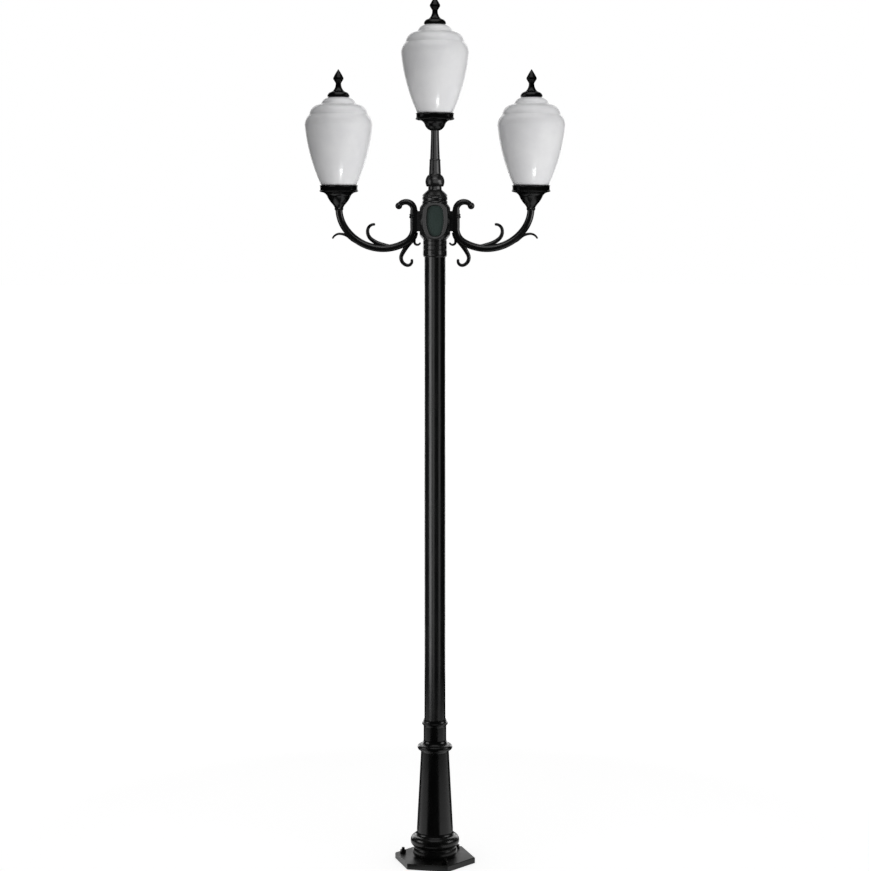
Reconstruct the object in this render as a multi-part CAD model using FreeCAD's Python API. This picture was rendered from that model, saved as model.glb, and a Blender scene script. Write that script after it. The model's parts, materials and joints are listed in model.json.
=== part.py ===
# Triple head lamp post: a hexagonal foot plate, a cast pedestal round a steel tube, a squared hub
# with two scrolled arms and a turned stem, and three acorn globes that lift off their galleries.
# Millimetres, +Z up, origin on the ground under the tube's axis, arms along X, front towards -Y.
import FreeCAD
import Part
import math
import os

V = FreeCAD.Vector
UP = V(0, 0, 1)

# ---- driving dimensions -------------------------------------------------------------------------
# foot plate and its anchors
PLATE_CORNER_R = 156.0
PLATE_T = 22.0
PLATE_TURN = -12.2  # degrees from +X to the plate's first corner
PLATE_EDGE = 2.0
REGISTER_DEPTH = 4.0  # recess that locates the tube
CABLE_HOLE_R = 25.0
ANCHOR_INSET = 31.0  # from the plate's corners to the anchors' circle
ANCHOR_COUNT = 3
ANCHOR_THREAD_R = 6.0
ANCHOR_CLEAR = 1.0
WASHER_R = 12.0
WASHER_CLEAR = 0.5
WASHER_T = 2.5
NUT_FLATS = 19.0
NUT_H = 10.8

# post tube
TUBE_R = 40.0
TUBE_WALL = 4.0
TUBE_TOP_Z = 2360.0
SLIP = 0.3  # gap between the tube and the castings that slide over it

# pedestal, heights above the foot plate
PEDESTAL_H = 530.0
PEDESTAL_WALL = 7.5
PEDESTAL_NECK_WALL = 2.7
PEDESTAL_NECK_L = 63.0  # from the bead down to the collar's hollow
BEAD_PROUD = 6.5  # from the neck out to the bead, and in the same way for the collar and shaft
BEAD_DROP = 15.0  # from the pedestal's top to the bead's widest level
PEDESTAL_COLLAR_PROUD = 23.0
SHAFT_TOP_PROUD = 10.0
SHAFT_TAPER = 16.0
SHOULDER_Z = 86.0  # top of the torus
TORUS_PROUD = 24.0  # from the shaft's foot out
FOOT_RING_PROUD = 16.0

# hub, heights above its own lower edge
SOCKET_DEPTH = 57.0
SOCKET_WALL = 4.7
TUBE_STOP = 2.0  # how far the ledge that stops the tube reaches inside the tube's bore
HUB_GRUB_Z = 35.5
CORE_FOOT = 65.0
CORE_TOP = 196.0
CORE_BELLY_PROUD = 26.0  # from the collar out, and in the same way for the flats and bands
CORE_SIDE_PROUD = 11.5
CORE_FRONT_PROUD = 5.0
CORE_CORNER_R = 10.0
HUB_TOP = 229.0
HUB_ROOF_T = 38.0
BAND_PROUD = 2.5
GROOVES = (26.5, 44.5, 60.5)
GROOVE_DEPTH = 1.6
GROOVE_HALF_W = 2.2
GROOVE_FLOOR = 1.4
LUG_PROUD = 9.5  # from the core's side to the face that the arm bolts to
LUG_FOOT = 95.0
LUG_H = 75.0
LUG_DEPTH = 56.0

# medallions on the hub's front and back
MEDALLION_Z = 137.0  # widest level, above the hub's lower edge
FRAME_SETBACK = 8.5  # from the core's side to the frame's
FRAME_RISE = 63.5
FRAME_DROP = 72.0
FRAME_BORDER = 17.0
FRAME_BORDER_ENDS = 11.0
FRAME_PROUD = 12.0
FRAME_SHOULDER_R = 26.0
WINDOW_SHOULDER_R = 21.0
FRAME_FOOT_R = 44.0
FRAME_ROUND = 4.0
FRAME_ROOT = 10.0  # how far in from the collar's radius the frame and the panel start
PANEL_T = 3.0
PANEL_CLEAR = 0.1

# crown and stem above the hub
CROWN_H = 31.0
CROWN_NECK_R = 25.5
BALL_R = 35.5
STEM_H = 205.0
STEM_FOOT_R = 22.0
STEM_TOP_R = 15.0
SPIGOT_R = 18.0
SPIGOT_H = 4.0

# scrolled arms
LAMP_REACH = 356.0
ARM_R = 13.5
BAR_SET_OUT = 12.0  # from the lug's face to the bar's axis
BAR_R = 14.0
PAD_T = 14.0  # foot of the arm, against the lug
PAD_ABOVE = 4.0  # how far the bar stands above the lug
ARM_ROOT = 106.0  # height above the hub's lower edge where the sweep meets the bar
SWEEP = ((132.8, 34.1), (170.4, 85.5), (60.3, 60.4))  # radius and turn, from the lamp inwards
SECTION_TURN = 12.0  # degrees and millimetres between the sections of a tapering scroll, at most
SECTION_STEP = 14.0
WIRE_WAY_RISE = 30.0  # from the bar's foot up to the way through to the hub
SEAT_R = 17.0
SEAT_T = 6.0

# threaded pipes, nuts and screws
PIPE_R = 5.0
PIPE_WALL = 1.5
PIPE_CLEAR = 0.1
PIPE_IN_ARM = 30.0
PIPE_STOP = 0.5  # ledge in the arm that the pipe is screwed down to
PIPE_TAIL = 10.0  # how far the stem's pipe hangs below the hub's roof
LOCKNUT_WALL = 2.0  # from the thread to the flats
LOCKNUT_T = 3.5
GRUB_R = 3.0
ARM_SCREW_R = 4.0
ARM_SCREW_HEAD_R = 8.0
ARM_SCREW_L = 34.0
ARM_SCREW_EDGE_Y = 7.0  # from the lug's sides and ends to the screws' axes
ARM_SCREW_EDGE_Z = 18.0
SET_SCREW_R = 2.5
SET_SCREW_HEAD_R = 4.5
SET_SCREW_HEAD_T = 3.5
SET_SCREW_STAND = 3.0  # from the gallery's wall out to the screw's head
SET_SCREW_DROP = 9.0  # below the gallery's rim
SLOT_W = 1.2
SLOT_DEPTH = 1.6
HEX_SOCKET_R = 2.5
HEX_SOCKET_DEPTH = 3.0
SCREW_CLEAR = 0.05

# lamp galleries, heights above their seats
SIDE_CUP_H = 61.0
CENTRE_CUP_H = 41.0
GALLERY_H = 23.5
GALLERY_WALL = 3.4
RIM_GAP = 2.6  # between the globe's neck and the gallery
BOWL_FLOOR = 8.0
LEDGE_OVERLAP = 9.0  # how far the ledge reaches in under the neck
LEDGE_T = 5.0
GASKET_T = 2.5
GASKET_INSET = 2.0
GASKET_GAP = 1.0

# globes, heights above the gallery's rim
GLOBE_R = 125.0
GLOBE_H = 322.0
GLOBE_WALL = 3.0
NECK_R = 63.0
SCREW_GAP = 0.3  # between a set screw's tip and the globe's neck
CAP_HOLE_CLEAR = 1.5
CAP_R = 41.0
FINIAL_H = 100.0
TIP_R = 3.0
STUD_R = 4.0
STUD_L = 18.0
SEAL_T = 2.0
CAP_NUT_WALL = 2.5
CAP_NUT_H = 6.5

# lampholders and bulbs
HOLDER_R = 20.0
HOLDER_H = 48.0
HOLDER_DROP = 53.0  # from the gallery's rim down to the lampholder's foot
HOLDER_THREAD = 9.0
HOLDER_WIRE_R = 3.0
BULB_STAND = 0.6  # how far the bulb's glass stands above the lampholder
BULB_CAP_R = 13.0
BULB_CAP_H = 26.0
BULB_GAP = 0.4
BULB_R = 30.0
BULB_GLASS_H = 84.0
BULB_WALL = 1.0
THREAD_TURNS = 4

# ---- levels and radii that follow ---------------------------------------------------------------
HUB_Z = TUBE_TOP_Z - SOCKET_DEPTH
CROWN_Z = HUB_Z + HUB_TOP
STEM_Z = CROWN_Z + CROWN_H
CENTRE_SEAT_Z = STEM_Z + STEM_H
ANCHOR_CIRCLE_R = PLATE_CORNER_R - ANCHOR_INSET
PEDESTAL_NECK_R = TUBE_R + SLIP + PEDESTAL_NECK_WALL
PEDESTAL_BEAD_R = PEDESTAL_NECK_R + BEAD_PROUD
PEDESTAL_COLLAR_R = PEDESTAL_NECK_R + PEDESTAL_COLLAR_PROUD
SHAFT_TOP_R = PEDESTAL_NECK_R + SHAFT_TOP_PROUD
SHAFT_FOOT_R = SHAFT_TOP_R + SHAFT_TAPER
TORUS_R = SHAFT_FOOT_R + TORUS_PROUD
FOOT_RING_R = SHAFT_FOOT_R + FOOT_RING_PROUD
COLLAR_R = TUBE_R + SLIP + SOCKET_WALL
BAND_R = COLLAR_R + BAND_PROUD
CORE_BELLY_R = COLLAR_R + CORE_BELLY_PROUD
SIDE_X = COLLAR_R + CORE_SIDE_PROUD
FRONT_Y = COLLAR_R + CORE_FRONT_PROUD
FRAME_HALF_W = SIDE_X - FRAME_SETBACK
LUG_REACH = SIDE_X + LUG_PROUD
BAR_REACH = LUG_REACH + BAR_SET_OUT
PAD_TOP = LUG_REACH + PAD_T
WIRE_WAY_R = PIPE_R - PIPE_STOP
GALLERY_R = NECK_R + RIM_GAP + GALLERY_WALL
LEDGE_R = NECK_R - LEDGE_OVERLAP
CAP_HOLE_R = STUD_R + CAP_HOLE_CLEAR


# ---- outlines: closed profiles in the XZ plane, given as (radius, height) -----------------------
def point(rz):
    return V(rz[0], 0, rz[1])


def straight(end):
    return end, lambda start: Part.LineSegment(point(start), point(end)).toShape()


def bow(through, end):
    return end, lambda start: Part.Arc(point(start), point(through), point(end)).toShape()


def outline(start, *steps):
    edges, here = [], start
    for step in steps:
        end, edge = step if callable(step[-1]) else straight(step)
        edges.append(edge(here))
        here = end
    edges.append(straight(start)[1](here))
    return Part.Face(Part.Wire(edges))


def turned(face, x=0.0, z=0.0):
    solid = face.revolve(V(0, 0, 0), UP, 360)
    solid.translate(V(x, 0, z))
    return solid


def ring(inner_r, outer_r, z, height, x=0.0):
    profile = outline((inner_r, 0), (outer_r, 0), (outer_r, height), (inner_r, height))
    return turned(profile, x, z)


def rod(radius, z, height, x=0.0, y=0.0):
    return Part.makeCylinder(radius, height, V(x, y, z), UP)


def radial_rod(radius, start_r, end_r, angle, z, x=0.0):
    """A cylinder along the radius at an angle, between two distances from the axis at x."""
    way = V(math.cos(math.radians(angle)), math.sin(math.radians(angle)), 0)
    return Part.makeCylinder(radius, end_r - start_r, V(x, 0, z) + way * start_r, way)


def hexagon_prism(across_flats, z, height, bore_r, x=0.0, y=0.0):
    corner_r = across_flats / math.sqrt(3)
    corners = []
    for k in range(7):
        turn = math.radians(60 * k)
        corners.append(V(x + corner_r * math.cos(turn), y + corner_r * math.sin(turn), z))
    prism = Part.Face(Part.makePolygon(corners)).extrude(UP * height)
    round_off = outline(
        (0, 0), (corner_r * 0.93, 0), (corner_r, height * 0.12),
        (corner_r, height * 0.88), (corner_r * 0.93, height), (0, height),
    )
    turned_blank = turned(round_off, x, z)
    turned_blank.translate(V(0, y, 0))
    return prism.common(turned_blank).cut(rod(bore_r, z, height, x, y))


def around(count, first, step=None):
    step = step or 360 / count
    return [first + step * k for k in range(count)]


def one_solid(shape):
    """The single solid that a boolean leaves, without its compound."""
    if len(shape.Solids) != 1:
        raise ValueError("expected one solid, found %d" % len(shape.Solids))
    return shape.Solids[0]


# ---- foot plate and anchors ---------------------------------------------------------------------
def anchor_places():
    places = []
    for angle in around(ANCHOR_COUNT, PLATE_TURN - 60):
        turn = math.radians(angle)
        places.append((ANCHOR_CIRCLE_R * math.cos(turn), ANCHOR_CIRCLE_R * math.sin(turn)))
    return places


def foot_plate():
    corners = []
    for angle in around(6, PLATE_TURN) + [PLATE_TURN]:
        turn = math.radians(angle)
        corners.append(V(PLATE_CORNER_R * math.cos(turn), PLATE_CORNER_R * math.sin(turn), 0))
    plate = Part.Face(Part.makePolygon(corners)).extrude(UP * PLATE_T)
    rim = [e for e in plate.Edges if min(v.Z for v in e.Vertexes) > PLATE_T - 0.01]
    plate = plate.makeChamfer(PLATE_EDGE, rim)
    plate = plate.cut(rod(CABLE_HOLE_R, 0, PLATE_T))
    plate = plate.cut(rod(TUBE_R, PLATE_T - REGISTER_DEPTH, REGISTER_DEPTH))
    for x, y in anchor_places():
        plate = plate.cut(rod(ANCHOR_THREAD_R + ANCHOR_CLEAR, 0, PLATE_T, x, y))
    return one_solid(plate)


def anchor_washers():
    washers = []
    for x, y in anchor_places():
        disc = rod(WASHER_R, PLATE_T, WASHER_T, x, y)
        washers.append(disc.cut(rod(ANCHOR_THREAD_R + WASHER_CLEAR, PLATE_T, WASHER_T, x, y)))
    return Part.makeCompound(washers)


def anchor_nuts():
    foot = PLATE_T + WASHER_T
    return Part.makeCompound(
        [hexagon_prism(NUT_FLATS, foot, NUT_H, ANCHOR_THREAD_R, x, y) for x, y in anchor_places()]
    )


# ---- post and pedestal --------------------------------------------------------------------------
def post_tube():
    foot = PLATE_T - REGISTER_DEPTH
    return ring(TUBE_R - TUBE_WALL, TUBE_R, foot, TUBE_TOP_Z - foot)


def pedestal():
    bore = TUBE_R + SLIP
    top = PEDESTAL_H
    bead = top - BEAD_DROP
    neck_foot = bead - PEDESTAL_NECK_L
    collar = neck_foot - 29
    shaft_top = collar - 19
    shoulder = SHOULDER_Z
    foot_r = FOOT_RING_R - 3
    outside = outline(
        (bore, top),
        (PEDESTAL_NECK_R, top),
        bow((PEDESTAL_NECK_R + 1.8, bead + 7.5), (PEDESTAL_BEAD_R - 2.5, bead + 4)),
        bow((PEDESTAL_BEAD_R, bead), (PEDESTAL_BEAD_R - 2.5, bead - 4)),
        bow((PEDESTAL_NECK_R + 1, bead - 8), (PEDESTAL_NECK_R, bead - 15)),
        (PEDESTAL_NECK_R, neck_foot),
        bow((PEDESTAL_NECK_R + 4.5, neck_foot - 11.5), (PEDESTAL_COLLAR_R - 6, neck_foot - 19.5)),
        bow((PEDESTAL_COLLAR_R, collar - 1), (PEDESTAL_COLLAR_R - 6, collar - 10)),
        bow((SHAFT_TOP_R + 1.5, collar - 12.5), (SHAFT_TOP_R, shaft_top)),
        (SHAFT_FOOT_R, shoulder + 15),
        bow((SHAFT_FOOT_R + 2, shoulder + 4), (SHAFT_FOOT_R + 8, shoulder - 3)),
        bow((TORUS_R - 5, shoulder - 11), (TORUS_R, shoulder - 24)),
        bow((TORUS_R - 1.5, shoulder - 35), (FOOT_RING_R - 1, shoulder - 44)),
        bow((FOOT_RING_R - 4.5, shoulder - 48), (FOOT_RING_R - 4, shoulder - 53)),
        bow((FOOT_RING_R, 18), (foot_r, 3)),
        (foot_r, 0),
        (foot_r - PEDESTAL_WALL, 0),
        (foot_r - PEDESTAL_WALL, shoulder - 50),
        (SHAFT_FOOT_R - PEDESTAL_WALL, shoulder + 4),
        (SHAFT_TOP_R - PEDESTAL_WALL, shaft_top),
        (bore, collar + 10),
    )
    body = turned(outside, 0, PLATE_T)
    for angle in around(3, 90):
        hole = radial_rod(GRUB_R, TUBE_R, PEDESTAL_BEAD_R + 5, angle, PLATE_T + bead)
        body = body.cut(hole)
    return one_solid(body)


def grub_screws(tip_r, outer_r, z):
    screws = []
    socket_depth = (outer_r - tip_r) / 2
    for angle in around(3, 90):
        screw = radial_rod(GRUB_R, tip_r, outer_r, angle, z)
        socket = radial_rod(GRUB_R / 2, outer_r - socket_depth, outer_r, angle, z)
        screws.append(screw.cut(socket))
    return Part.makeCompound(screws)


# ---- hub ----------------------------------------------------------------------------------------
def squared_core():
    """A turned barrel cut back to flat faces with rounded upright edges."""
    middle = (CORE_FOOT + CORE_TOP) / 2
    barrel = outline(
        (0, CORE_FOOT), (COLLAR_R - 0.5, CORE_FOOT),
        bow((CORE_BELLY_R, middle), (BAND_R - 0.5, CORE_TOP)),
        (0, CORE_TOP),
    )
    block = Part.makeBox(
        2 * SIDE_X, 2 * FRONT_Y, CORE_TOP, V(-SIDE_X, -FRONT_Y, 0)
    )
    upright = [e for e in block.Edges if abs(e.tangentAt(e.FirstParameter).z) > 0.9]
    return turned(barrel).common(block.makeFillet(CORE_CORNER_R, upright))


def hub_collar():
    """The grooved sleeve that slips over the tube."""
    steps = [(COLLAR_R - 3.5, 0), bow((COLLAR_R - 0.4, 4.5), (COLLAR_R + 0.5, 13))]
    for level in GROOVES:
        steps += [
            (COLLAR_R, level - GROOVE_HALF_W),
            (COLLAR_R - GROOVE_DEPTH, level - GROOVE_FLOOR / 2),
            (COLLAR_R - GROOVE_DEPTH, level + GROOVE_FLOOR / 2),
            (COLLAR_R, level + GROOVE_HALF_W),
        ]
    steps += [(COLLAR_R, CORE_FOOT + 2), (0, CORE_FOOT + 2)]
    return turned(outline((0, 0), *steps))


def hub_bands():
    """Two rounded bands on top of the core."""
    return turned(outline(
        (0, CORE_TOP - 2), (BAND_R - 1, CORE_TOP - 2),
        bow((BAND_R + 0.5, CORE_TOP + 5), (BAND_R - 2, CORE_TOP + 11)),
        (BAND_R - 3, CORE_TOP + 12), (BAND_R - 3, CORE_TOP + 13), (BAND_R - 1.5, CORE_TOP + 14),
        bow((BAND_R, CORE_TOP + 20), (BAND_R - 1.5, CORE_TOP + 26)),
        (BAND_R - 2.5, CORE_TOP + 27.3), (BAND_R - 2.5, CORE_TOP + 28.7), (BAND_R - 1, HUB_TOP - 2.5),
        (BAND_R - 1.5, HUB_TOP), (0, HUB_TOP),
    ))


def arm_screw_places():
    """Depth and height of the four screws of an arm."""
    y = LUG_DEPTH / 2 - ARM_SCREW_EDGE_Y
    rises = (ARM_SCREW_EDGE_Z, LUG_H - ARM_SCREW_EDGE_Z)
    return [(sy * y, LUG_FOOT + rise) for sy in (-1, 1) for rise in rises]


def hub_body():
    lug = Part.makeBox(
        2 * LUG_REACH, LUG_DEPTH, LUG_H, V(-LUG_REACH, -LUG_DEPTH / 2, LUG_FOOT)
    )
    hub = hub_collar().multiFuse([squared_core(), hub_bands(), lug])
    hollow = [
        rod(TUBE_R + SLIP, 0, SOCKET_DEPTH),
        rod(TUBE_R - TUBE_WALL - TUBE_STOP, SOCKET_DEPTH, HUB_TOP - HUB_ROOF_T - SOCKET_DEPTH),
        rod(PIPE_R + PIPE_CLEAR, HUB_TOP - HUB_ROOF_T, HUB_ROOF_T),
        rod(SPIGOT_R + PIPE_CLEAR, HUB_TOP - SPIGOT_H, SPIGOT_H),
    ]
    for angle in around(3, 90):
        hollow.append(radial_rod(GRUB_R, TUBE_R, COLLAR_R + 5, angle, HUB_GRUB_Z))
    for side in (0, 180):
        hollow.append(radial_rod(WIRE_WAY_R, 0, LUG_REACH, side, ARM_ROOT + WIRE_WAY_RISE))
    for y, z in arm_screw_places():
        for side in (-1, 1):
            start = V(side * (LUG_REACH - ARM_SCREW_L), y, z)
            hollow.append(Part.makeCylinder(ARM_SCREW_R, ARM_SCREW_L, start, V(side, 0, 0)))
    hub = one_solid(hub.cut(Part.makeCompound(hollow)))
    hub.translate(V(0, 0, HUB_Z))
    return hub


# ---- medallions ---------------------------------------------------------------------------------
def quarter_arcs(half_width, height, corner_r, side_turn, end_turn):
    """Radii and turns of three tangent arcs from the widest point to the end of an oval's quarter.

    The corner's radius and the three turns are given. The side's and the end's radius follow, so
    that the quarter is as wide and as high as asked.
    """
    a, b = math.radians(side_turn), math.radians(90 - end_turn)
    side_w, side_h = 1 - math.cos(a), math.sin(a)
    corner_w = corner_r * (math.cos(a) - math.cos(b))
    corner_h = corner_r * (math.sin(b) - math.sin(a))
    end_w, end_h = math.cos(b), 1 - math.sin(b)
    w, h = half_width - corner_w, height - corner_h
    fit = side_w * end_h - side_h * end_w
    side_r = (w * end_h - h * end_w) / fit
    end_r = (side_w * h - side_h * w) / fit
    return [(side_r, side_turn), (corner_r, 90 - side_turn - end_turn), (end_r, end_turn)]


def shield_prism(inset_w, inset_ends, shoulder_r, y_from, y_to):
    """A prism along Y with a squared top and an oval foot, set in from the medallion's outline."""
    half_width = FRAME_HALF_W - inset_w
    quarters = (
        quarter_arcs(half_width, FRAME_RISE - inset_ends, shoulder_r, 10, 12),
        quarter_arcs(half_width, FRAME_DROP - inset_ends, FRAME_FOOT_R - inset_w, 20, 25),
    )
    edges = []
    for sign, quarter in ((1, quarters[0]), (-1, quarters[1])):
        for side in (1, -1):
            x, z, heading = half_width, 0.0, 90.0
            for radius, turn in quarter:
                ends = [(x, z)]
                for part in (turn / 2, turn):
                    start = math.radians(heading)
                    end = math.radians(heading + part)
                    ends.append((
                        x + radius * (math.sin(end) - math.sin(start)),
                        z - radius * (math.cos(end) - math.cos(start)),
                    ))
                level = HUB_Z + MEDALLION_Z
                places = [V(side * px, y_from, level + sign * pz) for px, pz in ends]
                edges.append(Part.Arc(*places).toShape())
                x, z = ends[-1]
                heading += turn
    loop = Part.Wire(Part.__sortEdges__(edges))
    return Part.Face(loop).extrude(V(0, y_to - y_from, 0))


def medallion_frame(hub):
    crest = -FRONT_Y - FRAME_PROUD
    deep = -COLLAR_R + FRAME_ROOT
    whole = shield_prism(0, 0, FRAME_SHOULDER_R, deep, crest)
    window = shield_prism(FRAME_BORDER, FRAME_BORDER_ENDS, WINDOW_SHOULDER_R, deep, crest)
    frame = whole.cut(window)
    front = [e for e in frame.Edges if max(abs(v.Y - crest) for v in e.Vertexes) < 0.01]
    frame = frame.makeFillet(FRAME_ROUND, front)
    return one_solid(frame.cut(hub))


def medallion_panel(hub):
    deep = -COLLAR_R + FRAME_ROOT
    panel = shield_prism(
        FRAME_BORDER + PANEL_CLEAR, FRAME_BORDER_ENDS + PANEL_CLEAR,
        WINDOW_SHOULDER_R - PANEL_CLEAR, deep, -FRONT_Y - PANEL_T,
    )
    return one_solid(panel.cut(hub))


def at_back(shape):
    return shape.mirror(V(0, 0, 0), V(0, 1, 0))


# ---- crown, stem and pipes ----------------------------------------------------------------------
def hub_crown():
    bore = PIPE_R + PIPE_CLEAR
    return turned(outline(
        (bore, -SPIGOT_H), (SPIGOT_R, -SPIGOT_H), (SPIGOT_R, 0), (BAND_R - 1.5, 0),
        bow((BAND_R - 9.5, 8), (CROWN_NECK_R + 4, 15.5)),
        bow((CROWN_NECK_R + 0.8, 19), (CROWN_NECK_R, 23)),
        (CROWN_NECK_R, CROWN_H), (bore, CROWN_H),
    ), 0, CROWN_Z)


def stem():
    bore = PIPE_R + PIPE_CLEAR
    ball_z = 18.0
    return turned(outline(
        (bore, 0), (BALL_R - 4.5, 0),
        bow((BALL_R, ball_z), (STEM_FOOT_R + 5, 41)),
        bow((STEM_FOOT_R + 0.8, 44.5), (STEM_FOOT_R, 50)),
        (STEM_FOOT_R - 1, 72),
        (STEM_FOOT_R - 2, 94),
        bow((STEM_FOOT_R - 1.4, 97), (STEM_FOOT_R - 3.8, 101.5)),
        (STEM_TOP_R + 2.5, 116),
        (STEM_TOP_R + 1.2, 150),
        (STEM_TOP_R, STEM_H - 18),
        (STEM_TOP_R, STEM_H),
        (bore, STEM_H),
    ), 0, STEM_Z)


def threaded_pipe(z_from, z_to, x=0.0):
    return ring(PIPE_R - PIPE_WALL, PIPE_R, z_from, z_to - z_from, x)


# ---- scrolled arms: drawn outwards along +X, in (reach, height) ---------------------------------
def run_arcs(start, heading, arcs):
    """Stations (reach, height, heading in degrees) along tangent arcs, evenly spaced on each."""
    x, z, here = start[0], start[1], heading
    stations = [(x, z, here)]
    for radius, turn in arcs:
        side = math.copysign(1, turn)
        cx = x - side * radius * math.sin(math.radians(here))
        cz = z + side * radius * math.cos(math.radians(here))
        length = radius * math.radians(abs(turn))
        steps = math.ceil(max(abs(turn) / SECTION_TURN, length / SECTION_STEP))
        for k in range(1, steps + 1):
            a = math.radians(here + turn * k / steps)
            x, z = cx + side * radius * math.sin(a), cz - side * radius * math.cos(a)
            stations.append((x, z, here + turn * k / steps))
        here += turn
    return stations


def tapered_scroll(stations, root_r, tip_r, ball_r=None):
    """A round bar through the stations whose radius falls evenly, closed by a ball."""
    lengths = [0.0]
    for (x0, z0, _), (x1, z1, _) in zip(stations, stations[1:]):
        lengths.append(lengths[-1] + math.hypot(x1 - x0, z1 - z0))
    hoops = []
    for (x, z, heading), length in zip(stations, lengths):
        radius = root_r + (tip_r - root_r) * length / lengths[-1]
        way = V(math.cos(math.radians(heading)), 0, math.sin(math.radians(heading)))
        hoops.append(Part.Wire(Part.Circle(V(x, 0, z), way, radius).toShape()))
    bar = Part.makeLoft(hoops, True, True)
    x, z, _ = stations[-1]
    return bar.fuse(Part.makeSphere(ball_r or tip_r * 1.04, V(x, 0, z)))


def sweep_arcs():
    """The sweep's arcs, sized so that it runs from the lamp to the bar."""
    drawn = run_arcs((0, 0), -90, [(radius, -turn) for radius, turn in SWEEP])
    scale = (LAMP_REACH - BAR_REACH) / -drawn[-1][0]
    arcs = [(radius * scale, -turn) for radius, turn in SWEEP]
    return arcs, -drawn[-1][1] * scale


def seat_height():
    """Height of a side lamp's seat above the hub's lower edge."""
    return ARM_ROOT + sweep_arcs()[1]


def on_sweep(share):
    """A point of the sweep at a share of its length from the lamp, and its outward heading."""
    arcs, _ = sweep_arcs()
    left = share * sum(radius * math.radians(abs(turn)) for radius, turn in arcs)
    part = []
    for radius, turn in arcs:
        length = radius * math.radians(abs(turn))
        used = min(left, length)
        if used > 0:
            part.append((radius, turn * used / length))
        left -= used
    x, z, heading = run_arcs((LAMP_REACH, seat_height()), -90, part)[-1]
    return (x, z), heading + 180


def arc_pipe(arcs, start, heading, radius):
    """A round bar of one radius swept along tangent arcs."""
    edges, x, z, here = [], start[0], start[1], heading
    for arc_r, turn in arcs:
        middle = run_arcs((x, z), here, [(arc_r, turn / 2)])[-1]
        end = run_arcs((x, z), here, [(arc_r, turn)])[-1]
        edges.append(Part.Arc(V(x, 0, z), V(middle[0], 0, middle[1]), V(end[0], 0, end[1])).toShape())
        x, z, here = end
    way = V(math.cos(math.radians(heading)), 0, math.sin(math.radians(heading)))
    hoop = Part.Wire(Part.Circle(V(start[0], 0, start[1]), way, radius).toShape())
    return Part.Wire(edges).makePipeShell([hoop], True, False)


def scrolls():
    """Leaf, thorn, tendril, hook and top scroll, each from where it leaves the bar or sweep."""
    leaf_root, leaf_way = on_sweep(0.693)
    nearly_straight = (2000, 1.2)
    leaf = run_arcs(
        leaf_root, leaf_way + 27, [nearly_straight, (101, 22.8), (36.6, 61.9), (23.8, 75.7)]
    )
    thorn_root, thorn_way = on_sweep(0.40)
    thorn = run_arcs(thorn_root, thorn_way - 26, [(63, 40.8), (55, -44.6), (28.6, -60.9)])
    tendril = run_arcs(
        (BAR_REACH - 4.5, ARM_ROOT - 15.5), -88,
        [(42, 41.4), (231, -16.3), (28.4, -101.1), (15.5, -116.7)],
    )
    hook = run_arcs((BAR_REACH - 4, ARM_ROOT - 17.5), -78, [(121, -15.8), (11.1, -145.7)])
    top = run_arcs((BAR_REACH, LUG_FOOT + LUG_H + PAD_ABOVE), 90, [(30, -150)])
    return [
        tapered_scroll(leaf, 10.5, 5.0),
        tapered_scroll(thorn, 7.5, 3.4),
        tapered_scroll(tendril, 11.0, 5.2),
        tapered_scroll(hook, 7.0, 3.4),
        tapered_scroll(top, 12.8, 9.6, 13.0),
    ]


def scrolled_arm():
    arcs, _ = sweep_arcs()
    seat = (LAMP_REACH, seat_height())
    bar_top = LUG_FOOT + LUG_H + PAD_ABOVE
    pieces = [arc_pipe(arcs, seat, -90, ARM_R)]
    pieces.append(rod(BAR_R, ARM_ROOT, bar_top - ARM_ROOT, BAR_REACH))
    pieces.append(Part.makeBox(
        PAD_T, LUG_DEPTH, LUG_H, V(LUG_REACH, -LUG_DEPTH / 2, LUG_FOOT)
    ))
    bead = outline((0, -9), (BAR_R, -9), bow((BAR_R + 4, -4.5), (BAR_R + 0.5, 0)),
                   bow((BAR_R + 3.2, 4), (BAR_R, 8)), (0, 8))
    pieces.append(turned(bead, BAR_REACH, LUG_FOOT + LUG_H - 18))
    seat_ring = outline((0, -SEAT_T), (ARM_R, -SEAT_T - 3), bow((SEAT_R - 1, -SEAT_T + 0.5),
                        (SEAT_R, -2.5)), (SEAT_R - 1, 0), (0, 0))
    pieces.append(turned(seat_ring, seat[0], seat[1]))
    arm = pieces[0].multiFuse(pieces[1:] + scrolls())
    ways = [
        arc_pipe(arcs, seat, -90, WIRE_WAY_R),
        rod(WIRE_WAY_R, ARM_ROOT, WIRE_WAY_RISE, BAR_REACH),
        rod(PIPE_R, seat[1] - PIPE_IN_ARM, PIPE_IN_ARM, seat[0]),
        radial_rod(WIRE_WAY_R, 0, BAR_REACH, 0, ARM_ROOT + WIRE_WAY_RISE),
    ]
    for y, z in arm_screw_places():
        ways.append(Part.makeCylinder(
            ARM_SCREW_R + 2 * SCREW_CLEAR, PAD_TOP, V(0, y, z), V(1, 0, 0)
        ))
        sink = ARM_SCREW_HEAD_R - ARM_SCREW_R
        ways.append(Part.makeCone(
            ARM_SCREW_R, ARM_SCREW_HEAD_R, sink, V(PAD_TOP - sink, y, z), V(1, 0, 0)
        ))
    lug_room = Part.makeBox(
        LUG_REACH, 2 * LUG_DEPTH, LUG_H, V(0, -LUG_DEPTH, LUG_FOOT)
    )
    for way in ways + [lug_room]:
        arm = arm.cut(way)
    arm = one_solid(arm)
    arm.translate(V(0, 0, HUB_Z))
    return arm


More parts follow.
